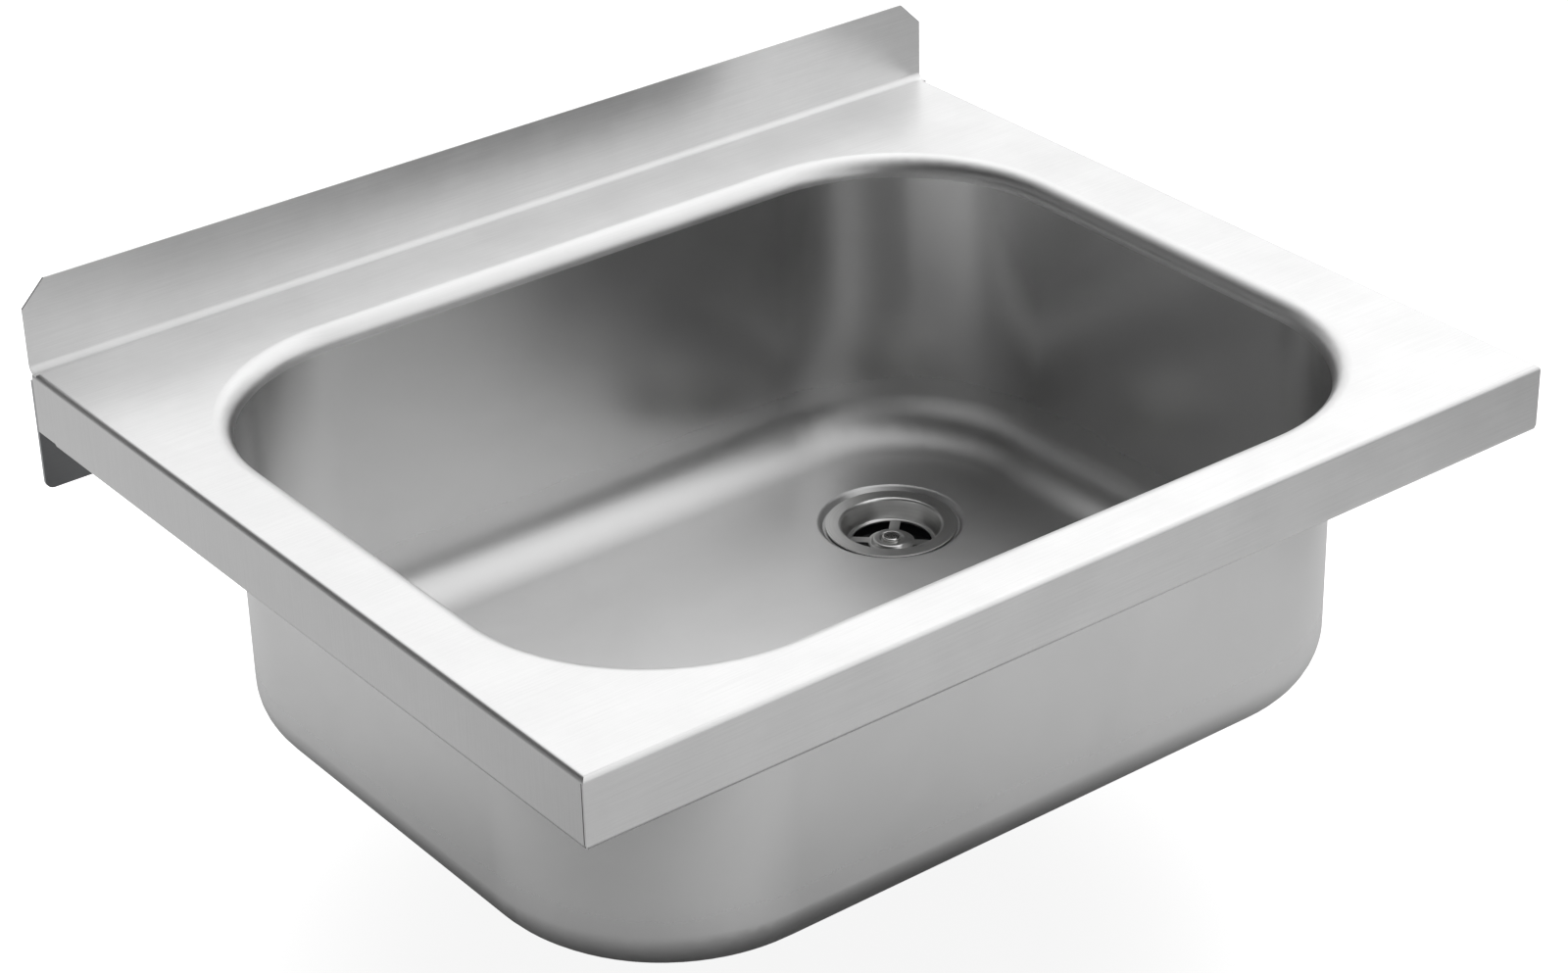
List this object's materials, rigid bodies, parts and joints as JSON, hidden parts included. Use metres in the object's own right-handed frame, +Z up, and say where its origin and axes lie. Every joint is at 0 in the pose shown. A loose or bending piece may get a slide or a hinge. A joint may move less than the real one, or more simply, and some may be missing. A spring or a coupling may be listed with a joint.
{
  "type": "slop sink",
  "caption": "Wall-hung stainless steel slop sink: deep rounded bowl, folded deck with a rear upstand, slotted wall rail, and a strainer waste with a threaded outlet.",
  "frame": {"origin": "on the wall plane, midway between the two fixing slots of the wall rail, 52 mm below the deck top", "axes": "+Y into the wall, so the sink reaches towards -Y; +X to the right for someone who stands in front of it; +Z up"},
  "size_m": [0.6, 0.5, 0.291],
  "materials": {
    "brushed_steel": "brushed sheet, grain along the width",
    "drawn_steel": "satin, deep drawn",
    "pressed_steel": "polished and pressed",
    "screw_steel": "bright",
    "zinc_steel": "zinc plated",
    "seal_rubber": "matte",
    "waste_plastic": "moulded, satin",
    "turned_brass": "turned",
    "damping_pad": "dull"
  },
  "bodies": {
    "root": {"deck_sheet": "brushed_steel", "bowl": "drawn_steel", "wall_rail": "brushed_steel", "strainer": "pressed_steel", "upper_seal": "seal_rubber", "lower_seal": "seal_rubber", "waste_body": "waste_plastic", "screw_insert": "turned_brass", "clamp_screw": "screw_steel", "sound_pad": "damping_pad", "earth_tag": "brushed_steel", "earth_screw": "zinc_steel", "earth_washers": "zinc_steel", "earth_nut": "turned_brass"}
  },
  "joints": []
}
